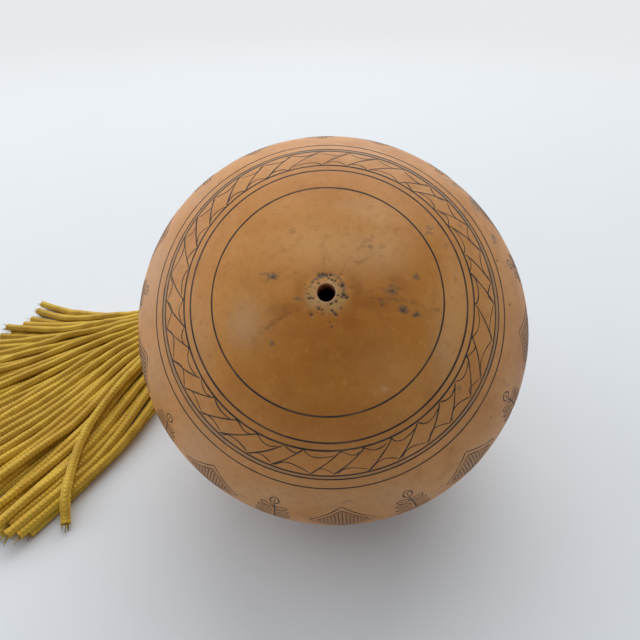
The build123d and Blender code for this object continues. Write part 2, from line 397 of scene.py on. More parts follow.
class Bundle:
    """Several tubes gathered into one piece."""

    BULGE = 0.1

    def __init__(self):
        self.points, self.faces, self.uvs, self.tones, self.size = [], [], [], [], 0

    def add(self, points, marks, radii, sides, tone=0.0, hollow=0.0):
        """Adds a tube along a line. Its near end bulges a little, its far one can be sunk in."""
        normals, binormals, ways = frames(points)
        around = circle(full_turn(sides), normals[:, None], binormals[:, None])
        shell = points[:, None] + around * np.broadcast_to(radii, around.shape[:2])[..., None]
        ends = [points[0] - ways[0] * self.BULGE, points[-1] - ways[-1] * hollow]
        self.points += [shell.reshape(-1, 3), ends]
        first, last = self.size, self.size + (len(points) - 1) * sides
        near, far = last + sides, last + sides + 1
        self.faces += quads(first, len(points), sides, True, False)
        for low, high in zip(marks, marks[1:]):
            for side in range(sides):
                left, right = side / sides, (side + 1) / sides
                self.uvs += [(left, low), (right, low), (right, high), (left, high)]
        for side in range(sides):
            after = (side + 1) % sides
            self.faces += [(first + after, first + side, near), (last + side, last + after, far)]
            self.uvs += [(0.0, 0.0)] * 3 + [(0.0, marks[-1])] * 3
        self.size = far + 1
        self.tones += [tone] * (self.size - first)

    def build(self, name, made, body, slot):
        points, values = np.concatenate(self.points), {"tone": self.tones}
        return piece(name, points, self.faces, made, body, values, self.uvs)


# Gourd skin

TIP_HEIGHT = RISE * sqrt(1 - (TIP_R / GOURD_R) ** 2)
TIP_SLOPE = RISE ** 2 * TIP_R / (GOURD_R ** 2 * TIP_HEIGHT)


def skin(lat, turn, lift=0.0):
    """Points and outward directions of the skin, at angles from the belly and round the axis."""
    half = np.where(lat > 0, RISE, DROP)
    radius, height = GOURD_R * np.cos(lat), half * np.sin(lat)
    tip = (lat > 0) & (radius < TIP_R)
    height = np.where(tip, TIP_HEIGHT + TIP_SLOPE * (TIP_R - radius), height)
    out, up = np.cos(lat) / GOURD_R, np.sin(lat) / half
    size = np.hypot(out, up)
    out, up = out / size, up / size
    waves = -0.28 * np.cos(2 * (turn - 0.84)) + 0.10 * np.cos(3 * turn + 0.5)
    waves = waves + 0.05 * np.sin(5 * turn + 4 * lat)
    swell = np.where(lat > 0, 0.15 * np.exp(-(radius / 8.0) ** 2), 0.0)
    uneven = np.cos(lat) ** 2 * waves + swell + lift
    ring = circle(turn, SIDE, BACK)
    ways = ring * out[..., None] + AXIS * up[..., None]
    points = CENTRE + ring * radius[..., None] + AXIS * height[..., None] + ways * uneven[..., None]
    points[..., 2] = np.maximum(points[..., 2], 0.0)
    return points, ways


def waver(seed, turn, size):
    """A closed, uneven wave round the axis."""
    dice = random.Random(seed)
    waves = ((1, 1.0), (2, 0.7), (3, 0.5), (5, 0.3), (9, 0.15), (14, 0.1))
    return size * sum(share * np.sin(times * turn + dice.uniform(0, tau)) for times, share in waves)


def latitude(radius):
    return np.arccos(radius / GOURD_R)


SEGMENTS = 320
TURNS = full_turn(SEGMENTS)
RING_SWAY = 0.05

# Rows of the skin from the blossom hole to the stem scar, with a close set at each ring line
FIRST_ROW = 1.42
PLAIN_STEPS = ((FIRST_ROW, 4.6, 0.13), (4.6, 8.0, 0.27), (8.0, 36.6, 0.64))
RING_STEPS = ((-0.22, 0.0), (-0.14, 0.0), (0.0, GROOVE), (0.14, 0.0), (0.22, 0.0))
RING_CLEAR = 0.42
BELLY_ROWS, BELLY_TOP = 88, 19.2
rows = []
for radius in np.concatenate([np.arange(*steps) for steps in PLAIN_STEPS]):
    if min(abs(radius - ring) for ring in RINGS) > RING_CLEAR:
        rows.append((radius, np.full(SEGMENTS, radius), 0.0))
for index, ring in enumerate(RINGS):
    for offset, depth in RING_STEPS:
        rows.append((ring + offset, ring + offset + waver(index, TURNS, RING_SWAY), depth))
rows.sort(key=lambda row: row[0])
lats = [latitude(row[1]) for row in rows]
depths = [row[2] for row in rows]
for lat in np.linspace(radians(BELLY_TOP), -acos(SCAR_R / GOURD_R), BELLY_ROWS):
    lats.append(np.full(SEGMENTS, lat))
    depths.append(0.0)
lats = np.array(lats)
turns = np.broadcast_to(TURNS, lats.shape)
radii = GOURD_R * np.cos(lats)
front = lats > 0
flat_x, flat_y = radii * np.cos(turns), radii * np.sin(turns)
lift = -np.array(depths)[:, None] * np.ones(SEGMENTS)
dark, stain_and_shade, smudge, chalk_and_reflection, bleach_and_light, crease = (np.zeros_like(lats) for field in range(6))


def spot(x, y, wide, tall):
    """A soft spot on the blossom half, across and up from the hole."""
    return np.exp(-((flat_x - x) / wide) ** 2 - ((flat_y - y) / tall) ** 2) * front


def paint(field, mark):
    """Paints a mark into a field, where it is the stronger."""
    np.maximum(field, mark, out=field)


def blot(field, radius, degrees, wide, tall, amount):
    """Paints a spot by its distance from the hole and its direction."""
    turn = radians(degrees)
    paint(field, spot(radius * cos(turn), radius * sin(turn), wide, tall) * amount)


def soft_ring(radius, width, seed, sway):
    return np.exp(-((radii - radius - waver(seed, turns, sway)) / width) ** 2) * front


# Corky pits round the blossom hole: place across and up from its middle, size, darkness
PITS = (
    (-1.08, 2.5, 0.26, 1.0), (-0.62, 2.62, 0.2, 0.8), (-0.05, 2.52, 0.34, 0.75), (0.58, 2.62, 0.28, 0.95),
    (0.75, 1.85, 0.22, 0.8), (1.22, 1.72, 0.2, 0.85), (0.3, 1.95, 0.18, 0.6), (-2.0, 1.4, 0.2, 0.8),
    (-2.22, 0.8, 0.2, 0.7), (-2.55, -0.25, 0.24, 0.85), (-2.35, -0.92, 0.22, 0.75), (-1.78, -0.9, 0.22, 0.8),
    (-1.1, 1.28, 0.18, 0.75), (2.2, 1.06, 0.28, 1.0), (1.7, 1.18, 0.2, 0.8), (1.66, -0.36, 0.18, 0.85),
    (2.15, -0.6, 0.2, 0.8), (2.56, -0.22, 0.26, 1.0), (2.88, -0.54, 0.3, 1.05), (2.05, 2.6, 0.24, 0.5),
    (3.6, 0.78, 0.26, 0.45), (1.4, -1.18, 0.24, 0.95), (0.8, -1.58, 0.26, 0.95), (-0.95, -2.32, 0.2, 0.9),
    (-0.5, -2.48, 0.18, 0.7), (0.9, -2.48, 0.24, 1.0), (2.18, -2.1, 0.19, 1.0), (1.46, -3.0, 0.26, 1.1),
    (1.75, -3.1, 0.18, 0.7), (-1.92, -3.12, 0.32, 0.7), (-0.3, -3.05, 0.22, 0.55), (0.76, -4.1, 0.26, 0.55),
)
SMALL_PITS, PIT_SPREAD, PIT_DEPTH = 60, 1.25, 0.45
dice = random.Random(7)
pits = list(PITS)
for number in range(SMALL_PITS):
    radius, turn = dice.uniform(1.5, 3.3), dice.uniform(0, tau)
    x, y = radius * cos(turn), radius * sin(turn)
    pits.append((x, y, dice.uniform(0.07, 0.14), dice.uniform(0.4, 0.8)))
for x, y, size, amount in pits:
    wide = size * PIT_SPREAD
    pit = spot(x, y, wide * dice.uniform(0.75, 1.2), wide * dice.uniform(0.6, 0.95))
    lift -= pit * wide * PIT_DEPTH
    paint(dark, pit * amount)

# Cork, a soiled ring, a stained halo and a worn rim round the hole, and one small painted highlight on the
# cap
cork = np.exp(-(np.clip(radii - 1.9 - waver(50, turns, 0.4), 0, None) / 0.8) ** 2) * front * 0.75
paint(smudge, soft_ring(2.5, 0.38, 52, 0.15) * (0.62 + 0.22 * np.sin(turns + 0.3)))
paint(stain_and_shade, soft_ring(4.0, 1.15, 51, 0.35) * (0.58 + 0.22 * np.cos(2 * turns)))
worn_rim_and_highlight = np.exp(-((radii - FIRST_ROW) / 0.10) ** 2) * front * (0.6 + 0.4 * np.cos(turns + 0.9))
# A painted highlight: a small pale glint on the lower right of the cap
blot(worn_rim_and_highlight, 15.6, -56, 0.55, 0.35, 0.5)

# Soil caught round the hole: place across and up, width, height, amount
SOIL_NEAR_HOLE = (
    (-0.75, 2.35, 1.0, 0.45, 1.0), (0.2, 2.3, 0.8, 0.5, 0.9), (-2.1, 0.9, 0.35, 0.9, 0.7),
    (-2.3, -0.6, 0.5, 0.7, 0.6), (2.1, 0.9, 0.5, 0.5, 0.7), (2.5, -0.4, 0.6, 0.5, 0.8),
    (0.9, -1.5, 0.6, 0.4, 0.8), (1.2, -2.8, 0.5, 0.4, 0.7), (-1.9, -3.0, 0.5, 0.4, 0.6),
    (1.9, 2.5, 0.5, 0.5, 0.5),
)
for x, y, wide, tall, amount in SOIL_NEAR_HOLE:
    paint(smudge, spot(x, y, wide, tall) * amount)

# Growth creases that run out from the hole: direction, start, end, width in degrees, amount
CREASES = (
    (168, 4.0, 11.0, 2.2, 0.55), (212, 3.6, 12.0, 2.4, 0.6), (204, 4.0, 8.5, 2.0, 0.4),
    (-3, 4.5, 18.0, 1.5, 0.55), (4, 3.6, 8.0, 2.0, 0.4), (57, 3.0, 12.0, 1.8, 0.4),
    (44, 5.0, 15.0, 1.4, 0.35), (150, 3.5, 9.0, 1.6, 0.3), (-72, 3.4, 9.0, 2.0, 0.3),
    (-118, 3.4, 8.0, 1.8, 0.3), (96, 3.2, 7.0, 2.2, 0.35),
)
FINE_CREASES, CREASE_DEPTH = 70, 0.03
dice = random.Random(21)
creases = list(CREASES)
for number in range(FINE_CREASES):
    start = dice.uniform(2.6, 9.0)
    degrees = dice.uniform(0, 360)
    end = start + dice.uniform(2.0, 8.0)
    wide = dice.uniform(0.9, 1.8)
    creases.append((degrees, start, end, wide, dice.uniform(0.06, 0.24)))
for degrees, start, end, wide, amount in creases:
    sway = dice.uniform(0, WAVE)
    off = np.degrees(turns) - degrees - 1.1 * np.sin(radii * 0.7 + sway)
    off = (off + 180.0) % 360.0 - 180.0
    window = np.clip((radii - start) / 1.2, 0.0, 1.0) * np.clip((end - radii) / 2.5, 0.0, 1.0)
    paint(crease, np.exp(-(off / wide) ** 2) * window * amount * front)
lift -= crease * CREASE_DEPTH

# Natural specks: distance from the hole, direction, width, darkness
SPECKS = (
    (8.2, 164, 0.5, 0.8), (9.8, 162, 0.3, 0.7), (9.3, 5.6, 0.7, 0.72), (8.3, -9, 0.45, 0.6),
    (7.7, -4, 0.25, 0.6), (11.3, -10, 0.75, 0.7), (13.2, -10.2, 0.45, 0.65), (14.9, 1.8, 0.3, 0.65),
    (14.2, 0, 0.25, 0.5), (19.3, 12.8, 0.4, 0.6), (4.2, -112, 0.3, 0.8), (4.8, -79, 0.25, 0.7),
    (7.4, -73, 0.25, 0.55), (31.1, -81, 0.55, 0.6), (31.9, -31, 0.4, 0.75), (29.9, 3.2, 0.5, 0.8),
    (29.2, 18, 0.5, 0.85), (14.9, 125, 0.3, 0.5), (12.4, 16, 0.35, 0.5), (16.1, -62, 0.25, 0.4),
    (24.4, 62, 0.3, 0.5), (33.4, -12, 0.35, 0.6), (30.2, -118, 0.3, 0.5), (20.3, -50, 0.22, 0.45),
    (33.0, 30, 0.3, 0.6),
)
for radius, degrees, wide, amount in SPECKS:
    blot(dark, radius, degrees, wide, wide * 0.8, amount)

# Soil, stains with painted shade, chalky places with painted reflection, and bleached places with painted
# light: distance from the hole, direction, width, height, amount
SOIL = (
    (9.6, 6, 1.4, 1.3, 1.0), (11.2, -9, 1.6, 0.8, 0.95), (13.2, -10, 1.1, 0.6, 0.85),
    (8.4, -6, 0.9, 0.5, 0.75), (13.4, 15, 1.0, 0.8, 0.65), (8.2, 164, 1.2, 0.8, 0.95),
    (9.6, 163, 1.3, 0.6, 0.7), (6.8, 166, 0.9, 0.4, 0.55), (6.6, 57, 0.7, 1.2, 0.6),
    (9.4, 50, 1.4, 1.0, 0.5), (11.8, 44, 1.4, 1.0, 0.5), (14.6, 40, 1.2, 1.2, 0.45),
    (19.2, 37, 1.3, 1.6, 0.7), (20.2, 27, 0.9, 0.9, 0.75), (19.3, 12, 0.6, 0.6, 0.7),
    (15.2, 0, 1.0, 0.7, 0.55), (4.4, -168, 1.8, 0.5, 0.65), (6.0, -150, 1.3, 0.5, 0.6),
    (10.6, -136, 1.1, 0.7, 0.65), (7.6, -78, 1.0, 1.2, 0.45), (5.0, -6, 1.6, 0.4, 0.55),
    (10.8, 118, 0.35, 1.5, 0.6), (33.1, 40, 1.6, 3.6, 0.95), (33.1, 48, 3.4, 1.6, 0.9),
    (31.0, 26, 0.9, 2.4, 0.8), (28.0, 38, 1.0, 1.6, 0.6), (31.1, -81, 1.4, 0.7, 0.6),
    (32.5, 118, 4.0, 1.0, 0.65), (23.6, -31, 0.9, 1.4, 0.6), (24.5, 33, 0.8, 1.2, 0.6),
    (33.0, 95, 5.0, 0.9, 0.55), (31.0, -20, 0.8, 1.5, 0.5),
)
# The large blots below the hole are painted shade over the lower half of the cap; the rest are stains
STAINS_AND_SHADE = (
    (6.2, -155, 3.6, 1.7, 0.95), (6.6, -10, 4.2, 1.5, 0.9), (3.4, 95, 3.0, 1.3, 0.9),
    (6.4, -65, 3.0, 1.6, 0.8), (9.5, -88, 12.0, 8.0, 1.0), (13.5, -62, 5.5, 4.0, 0.5),
    (12.5, -125, 6.0, 5.0, 0.62), (10.3, 9, 2.2, 2.6, 0.55), (16.5, -92, 14.0, 7.0, 0.95),
    (5.4, -50, 3.2, 2.4, 0.95), (15.5, -108, 5.0, 4.5, 0.95), (17.0, -130, 5.0, 5.0, 0.7),
    (33.5, -8, 3.0, 7.0, 0.6), (34.0, -152, 3.5, 5.0, 0.6), (30.0, 80, 9.0, 1.5, 0.3),
)
# Chalky places, and painted reflection as a pale haze at the lower and left edges of the belly
CHALK_AND_REFLECTION = (
    (8.5, 47, 4.0, 3.0, 0.45), (12.5, -160, 3.0, 3.6, 0.65), (18.5, -20, 2.2, 6.0, 0.45),
    (15.0, 70, 5.0, 2.0, 0.25), (31.0, 170, 3.5, 9.0, 0.55), (30.5, 140, 6.0, 4.0, 0.45),
    (31.5, -105, 9.0, 2.5, 0.45), (20.0, 200, 2.0, 6.0, 0.3), (31.0, -132, 6.0, 5.0, 0.5),
    (32.0, -158, 4.0, 6.0, 0.45), (30.5, -85, 8.0, 2.5, 0.45), (32.0, -68, 6.0, 3.0, 0.5),
)
# Bleached places, and painted light over the upper half of the cap
BLEACHED_AND_LIT = (
    (7.5, 100, 9.0, 4.5, 0.6), (11.5, 45, 5.0, 4.5, 0.55), (14.5, 60, 6.0, 3.5, 0.5),
    (14.0, 115, 6.0, 3.5, 0.3), (19.2, 0, 2.4, 9.0, 0.45), (14.5, -46, 4.5, 4.0, 0.22),
)
for field, places in ((smudge, SOIL), (stain_and_shade, STAINS_AND_SHADE), (chalk_and_reflection, CHALK_AND_REFLECTION), (bleach_and_light, BLEACHED_AND_LIT)):
    for place in places:
        blot(field, *place)
up_scratch = flat_y - 10.2
off_scratch = flat_x + 5.7 + 0.12 * up_scratch
paint(dark, np.exp(-(off_scratch / 0.16) ** 2 - (up_scratch / 1.3) ** 2) * front * 0.55)
outer = skin(lats, turns, lift)[0]

# Hole, inside, stem hole and scar close the shell
LIP_RISE, SCAR_SEAM = 0.13, 0.25
ring_of = circle(TURNS, SIDE, BACK)
ragged = HOLE_R + waver(40, TURNS, 0.016)


def ring_row(radius, height):
    return CENTRE + ring_of * np.broadcast_to(radius, SEGMENTS)[:, None] + AXIS * height


lip = TIP_HEIGHT + TIP_SLOPE * (TIP_R - HOLE_R) + LIP_RISE
scar_height = DROP * sqrt(1 - (SCAR_R / GOURD_R) ** 2)
inner_r, inner_rise, inner_drop = GOURD_R - WALL, RISE - WALL, DROP - WALL
hole_rows = [ring_row(ragged, height) for height in np.linspace(lip, inner_rise, 6)]
inner_turn = acos(HOLE_R / inner_r)
inner_rows = []
for angle in np.linspace(inner_turn, -inner_turn, 26)[1:-1]:
    half = inner_rise if angle > 0 else inner_drop
    inner_rows.append(ring_row(inner_r * cos(angle), half * sin(angle)))
stem_rows = [ring_row(HOLE_R, -height) for height in np.linspace(inner_drop, scar_height - 0.15, 4)]
scar_rows = []
for radius in np.linspace(HOLE_R + SCAR_SEAM, SCAR_R - SCAR_SEAM, 9):
    rough = waver(60 + int(radius * 9), TURNS, 0.02)[:, None] * AXIS
    scar_rows.append(ring_row(radius, -scar_height + 0.1 * sin(radius * 5.0)) + rough)
inside = inner_rows + stem_rows
grid = np.concatenate([outer, np.array((hole_rows + inside + scar_rows)[::-1])])
faces = [(a, d, c, b) for a, b, c, d in quads(0, len(grid), SEGMENTS, True, True)]


def padded_rows(field, scar=0.0, within=0.0, hole=0.0):
    """A field over the whole shell. The rows of the blossom hole come last."""
    counts = (len(scar_rows), len(inside), len(hole_rows))
    return np.concatenate([field.ravel(), np.repeat((scar, within, hole), np.array(counts) * SEGMENTS)])


belly = np.clip((radii - 15.0) / 13.0, 0.0, 1.0) * front + ~front
bare = np.zeros_like(lats)
fields = {
    "dark": (dark, 0.25), "stain_and_shade": (stain_and_shade, 0.5), "smudge": (smudge, 0.4), "worn_rim_and_highlight": (worn_rim_and_highlight,), "cork": (cork, 0.9),
    "belly": (belly, 1.0), "chalk_and_reflection": (chalk_and_reflection, 0.3), "bleach_and_light": (bleach_and_light,), "crease": (crease, 0.2),
    "inside": (bare, 0.0, 1.0, 0.0), "bore": (bare, 0.0, 0.0, 1.0),
}
values = {key: padded_rows(*field) for key, field in fields.items()}
gourd_skin = piece("gourd_skin", grid.reshape(-1, 3), faces, SKIN, "gourd", values)
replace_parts(gourd_skin, "gourd_shell")


# Engraved lines, filled with black

class Engraving:
    """Narrow strips that follow the skin, a little raised in the middle."""

    EDGE_LIFT, MIDDLE_LIFT = 0.008, 0.022
    DRAFT_POINTS, STEP = 40, 0.35

    def __init__(self, seed):
        self.points, self.faces, self.size, self.dice = [], [], 0, random.Random(seed)

    def strip(self, lat, turn, half, closed=False, sunk=0.0):
        """A strip of the given half width. Its middle can be sunk into a groove."""
        centre, ways = skin(lat, turn)
        if closed:
            along = np.roll(centre, -1, axis=0) - np.roll(centre, 1, axis=0)
        else:
            along = np.gradient(centre, axis=0)
        across = normed(np.cross(ways, along)) * half[:, None]
        edge, middle = ways * self.EDGE_LIFT, ways * (self.MIDDLE_LIFT - sunk)
        row = np.stack([centre + across + edge, centre + middle, centre - across + edge], axis=1)
        self.points.append(row.reshape(-1, 3))
        self.faces += quads(self.size, len(centre), 3, False, closed)
        self.size += 3 * len(centre)

    def stroke(self, *corners, width=1.0, taper=0.6):
        """A hand-drawn line through two corners (latitude, turn), or a bow through three."""
        corners = np.array(corners, dtype=float)
        draft = np.linspace(0.0, 1.0, self.DRAFT_POINTS)
        share = draft[:, None]
        if len(corners) == 2:
            line = corners[0] + (corners[1] - corners[0]) * share
        else:
            pull = 2 * corners[1] - (corners[0] + corners[2]) / 2
            line = corners[0] * (1 - share) ** 2 + pull * 2 * share * (1 - share) + corners[2] * share ** 2
        reach = distances(skin(line[:, 0], line[:, 1])[0])[-1]
        share = np.linspace(0.0, 1.0, max(4, int(reach / self.STEP)))
        line = np.stack([np.interp(share, draft, line[:, axis]) for axis in (0, 1)], axis=1)
        phase, bend = self.dice.uniform(0, WAVE), self.dice.uniform(0.5, 1.4)
        sway = 0.05 * np.sin(share * WAVE * bend + phase) * np.sin(share * pi)
        line[:, 0] += sway / GOURD_R
        ends = np.minimum(share, 1 - share) * reach
        half = LINE * width / 2 * np.clip(0.35 + ends / taper, 0.35, 1.0)
        half = half * (1 + 0.16 * np.sin(share * 9 * bend + phase * 2))
        self.strip(line[:, 0], line[:, 1], half)

    def build(self, name, made):
        return piece(name, np.concatenate(self.points), self.faces, made, "gourd")


# Ring lines. Two of them are bolder, and a chalky line lies between two others.
BOLD_RINGS, BOLDER = (1, 2), 1.15
CHALKY_GAP = (3, 4)
ring_turns = full_turn(960)
ring_lines = Engraving(1)
for index, ring in enumerate(RINGS):
    wide = LINE / 2 * (1.0 + waver(20 + index, ring_turns * 2, 0.055))
    if index in BOLD_RINGS:
        wide = wide * BOLDER
    lat = latitude(ring + waver(index, ring_turns, RING_SWAY))
    ring_lines.strip(lat, ring_turns, wide, True, GROOVE * 0.75)
ring_lines.build("ring_lines", INK)
pale_ring = Engraving(6)
pale_inner, pale_outer = (RINGS[index] for index in CHALKY_GAP)
pale_half = (pale_outer - pale_inner) / 2
pale_wide = pale_half * (0.44 + 0.34 * np.clip(waver(31, ring_turns, 0.5), -1.0, 1.0))
lat = latitude((pale_inner + pale_outer) / 2 + waver(CHALKY_GAP[0], ring_turns, RING_SWAY))
pale_ring.strip(lat, ring_turns, np.clip(pale_wide, 0.05, pale_half), True, 0.02)
pale_ring.build("pale_ring", CHALK_FILL)

# Border band of slanted strokes, each with a small bow on either side
UNITS, SLANT = 34, 12.0
HEAD_DOTS = 0.35
border = Engraving(2)
inner_edge, outer_edge = RINGS[2], RINGS[3]


def band(across, degrees):
    """A place in the border band, from 0 at its outer ring line to 1 at its inner one."""
    return latitude(outer_edge + (inner_edge - outer_edge) * across), radians(degrees)


dice = border.dice
feet = [unit * 360.0 / UNITS + dice.gauss(0, 0.9) for unit in range(UNITS)]
heads = [foot + SLANT + dice.gauss(0, 0.7) for foot in feet]
for unit in range(UNITS):
    foot, head = feet[unit], heads[unit]
    next_foot = feet[(unit + 1) % UNITS] + (360.0 if unit == UNITS - 1 else 0.0)
    last_head = heads[unit - 1] - (360.0 if unit == 0 else 0.0)
    thin = dice.uniform(0.55, 0.8)
    low, high = dice.uniform(0.01, 0.07), dice.uniform(0.91, 0.99)
    border.stroke(band(low, foot), band(high, head), width=dice.uniform(0.68, 0.92))
    peak = foot + 0.48 * (next_foot - foot) + dice.gauss(0, 0.5)
    rise, end = dice.uniform(0.25, 0.38), dice.uniform(0.03, 0.13)
    border.stroke(band(0.07, foot + 1.2), band(rise, peak), band(end, next_foot + 0.1), width=thin)
    hang = last_head + 4.2 + dice.gauss(0, 0.4)
    sag, end = dice.uniform(0.72, 0.80), dice.uniform(0.82, 0.88)
    border.stroke(band(0.98, last_head + 0.1), band(sag, hang), band(end, head - 1.8), width=thin)
    if dice.random() < HEAD_DOTS:
        border.stroke(band(0.93, head - 0.5), band(0.99, head + 0.5), width=1.7, taper=0.3)
border.build("border_lines", INK)


class Motif:
    """Draws on the belly in millimetres: x along the turn, y towards the blossom."""

    def __init__(self, engraving, degrees_up, degrees_round, size=1.0, lean=0.0):
        self.engraving, self.size, self.lean = engraving, size, radians(lean)
        self.lat, self.turn = radians(degrees_up), radians(degrees_round)

    def at(self, x, y):
        x, y = x * self.size, y * self.size
        x, y = x * cos(self.lean) - y * sin(self.lean), x * sin(self.lean) + y * cos(self.lean)
        lat = self.lat + y / GOURD_R
        return lat, self.turn + x / (GOURD_R * cos(lat))

    def draw(self, *places, width=1.0, taper=0.6):
        self.engraving.stroke(*(self.at(*place) for place in places), width=width, taper=taper)

    def leaf(self, x, y, angle, length, width):
        """Two bows from a base to a tip, and a rib."""
        way = np.array([cos(radians(angle)), sin(radians(angle))])
        side = np.array([-way[1], way[0]])
        base = np.array([x, y])
        tip, middle = base + way * length, base + way * length * 0.48
        self.draw(base, middle + side * width, tip, width=0.8)
        self.draw(base, middle - side * width, tip, width=0.8)
        self.draw(base + way * length * 0.12, base + way * length * 0.8, width=0.5)


# Belly: hatched lozenges and leafy sprigs in turn, a traditional frieze
FRIEZE, FRIEZE_START = 9, -84.0
LOZENGE_UP, SPRIG_UP = 24.0, 21.5
LOZENGE_WIDE, LOZENGE_TALL, LOZENGE_SIZE = 5.4, 6.6, 1.08
HATCH_LINES, HATCH_REACH = 13, 0.72
SPRIG_LEAVES = ((-4.6, 4.2), (-1.7, 4.0), (1.2, 3.6), (3.7, 2.9))
belly_lines, belly_hatch = Engraving(3), Engraving(4)
for unit in range(FRIEZE):
    place = FRIEZE_START + unit * 360.0 / FRIEZE
    lozenge = Motif(belly_lines, LOZENGE_UP, place, LOZENGE_SIZE)
    hatch = Motif(belly_hatch, LOZENGE_UP, place, LOZENGE_SIZE)
    for scale in (1.0, 0.78):
        wide, tall = LOZENGE_WIDE * scale, LOZENGE_TALL * scale
        corners = [(0, tall), (wide, 0), (0, -tall), (-wide, 0)]
        for first, second in zip(corners, corners[1:] + corners[:1]):
            lozenge.draw(first, second, width=0.9)
    for step in np.linspace(-0.66, 0.66, HATCH_LINES):
        reach = HATCH_REACH - abs(step)
        x, y = LOZENGE_WIDE * step, LOZENGE_TALL * step
        wide, tall = LOZENGE_WIDE * reach, LOZENGE_TALL * reach
        hatch.draw((x, -tall), (x, tall), width=0.7, taper=0.3)
        hatch.draw((-wide, y), (wide, y), width=0.45, taper=0.3)
    sprig = Motif(belly_lines, SPRIG_UP, place + 180.0 / FRIEZE, 1.0, belly_lines.dice.uniform(-9, 9))
    sprig.draw((0, -7), (0.5, 0), (0, 6.6), width=0.85)
    for height, length in SPRIG_LEAVES:
        sprig.leaf(0.2, height, 42, length, 0.85)
        sprig.leaf(-0.1, height + 0.6, 138, length, 0.85)
    sprig.leaf(0, 6.4, 90, 3.0, 0.8)

# Stem half: ring lines, a zigzag with small leaves, and a rosette round the scar
STEM_RINGS = ((8.0, 0.9), (6.4, 1.0), (-28.4, 1.0), (-30.0, 0.9), (-48.0, 0.9), (-50.0, 1.0), (-68.0, 1.0))
ZIGZAGS, ZIGZAG_LOW, ZIGZAG_HIGH, ZIGZAG_LEAF = 24, -47.3, -30.8, -45.2
PETALS, PETAL_UP = 14, -67.2
stem_lines = Engraving(5)
stem_turns = full_turn(720)
for degrees_up, share in STEM_RINGS:
    lat = radians(degrees_up) + waver(70 + int(degrees_up), stem_turns, 0.05) / GOURD_R
    wide = LINE / 2 * share * (1.0 + waver(90 + int(degrees_up), stem_turns * 2, 0.05))
    stem_lines.strip(lat, stem_turns, wide, True)
for unit in range(ZIGZAGS):
    place, half = unit * 360.0 / ZIGZAGS, 180.0 / ZIGZAGS
    low, high = radians(ZIGZAG_LOW), radians(ZIGZAG_HIGH)
    start, middle, end = (radians(place + half * step) for step in range(3))
    stem_lines.stroke((low, start), (high, middle))
    stem_lines.stroke((high, middle), (low, end))
    Motif(stem_lines, ZIGZAG_LEAF, place + half).leaf(0, 0, 90, 5.4, 1.3)
for unit in range(PETALS):
    petal = Motif(stem_lines, PETAL_UP, unit * 360.0 / PETALS)
    petal.draw((-2.6, 0), (0, 9.2), (2.6, 0), width=0.9)
    petal.draw((0, 0.4), (0, 2.8), width=0.7)

# A winding vine fills the belt between the two halves
VINES, VINE_UP, VINE_SWING = 16, -11.0, 7.0
BLOOM_LEAVES = ((0, 3.0, -90, 3.6, 0.8), (0, 3.0, -40, 3.0, 0.8), (0, 3.0, -140, 3.0, 0.8))
BLOOM_PETALS = ((0.6, 5.0, 62, 4.4, 0.95), (-0.6, 5.0, 118, 4.4, 0.95))
for unit in range(VINES):
    start, half = unit * 360.0 / VINES, 180.0 / VINES
    for side, offset in ((1, 0.0), (-1, half)):
        low, top = radians(VINE_UP), radians(VINE_UP + VINE_SWING * side)
        turn = [radians(start + offset + half * share) for share in (0.0, 0.5, 1.0)]
        stem_lines.stroke((low, turn[0]), (top, turn[1]), (low, turn[2]), width=0.95, taper=0.2)
        bloom = Motif(stem_lines, VINE_UP, start + offset + half / 2, 1.0, 0.0 if side > 0 else 180.0)
        for leaf in BLOOM_LEAVES + BLOOM_PETALS:
            bloom.leaf(*leaf)
belly_lines.build("belly_lines", INK)
belly_hatch.build("belly_hatch", PALE_INK)
stem_lines.build("stem_lines", INK)


# Tassel strands

# The even fan of the solids falls into three bunches, with two valleys that run from the flare to the ends
VALLEY_RUNS = ((0.42, 0.76), (0.375, 0.72), (0.435, 0.75), (0.47, 0.775))
VALLEY_GAPS = (0.0, 0.006, 0.013, 0.012)
VALLEY_EDGE = 0.001
NEAR_EDGE = (1.0, 0.985, 0.95, 0.925)

# A strand's radius with its stitches and at rest on others, where the pile begins, points along it
STRAND_SKIN, STRAND_REST = STRAND_R * 1.08, STRAND_R * 1.7
PILE_START, EASE = FLARE_R - 3.0, 7
ROUTE_POINTS, FIBRES, FIBRE_POINTS = 190, 9, 6


def along_guides(place, column):
    """The spot at a share of the fan, between the guide lines beside it."""
    shares = [guide[0] for guide in GUIDES]
    return [np.interp(place, shares, [guide[column][axis] for guide in GUIDES]) for axis in (0, 1)]


def bunched(place, column):
    """A strand's share of the fan, drawn together with its bunch."""
    first, second = VALLEY_RUNS[0]
    even = (0.0, first, first + VALLEY_EDGE, second, second + VALLEY_EDGE, 1.0)
    gap = VALLEY_GAPS[column]
    first, second = VALLEY_RUNS[column]
    drawn = (0.0, first - gap, first + gap, second - gap, second + gap, NEAR_EDGE[column])
    return float(np.interp(place, even, drawn))


def neck_angle(index):
    """Where a strand comes to the neck, by its place in the fan and its row."""
    return atan2(ROW_ORDER[index % ROWS] / 1.5 - 1.0, 2.8 * index / (STRANDS - 1) - 1.4)


# Round the neck the strands lie in three rings, one inside the other
NECK_RINGS = (1.0, 0.62, 0.3)
around = sorted(range(STRANDS), key=neck_angle)


def neck_spot(index, along, radius):
    """A strand's place in the head, at a distance along the head's axis."""
    slot = around.index(index)
    angle = tau * slot / STRANDS - pi
    out = circle(angle, HEAD_ACROSS, UP)
    return NECK + HEAD_WAY * along + out * radius * NECK_RINGS[slot % len(NECK_RINGS)]


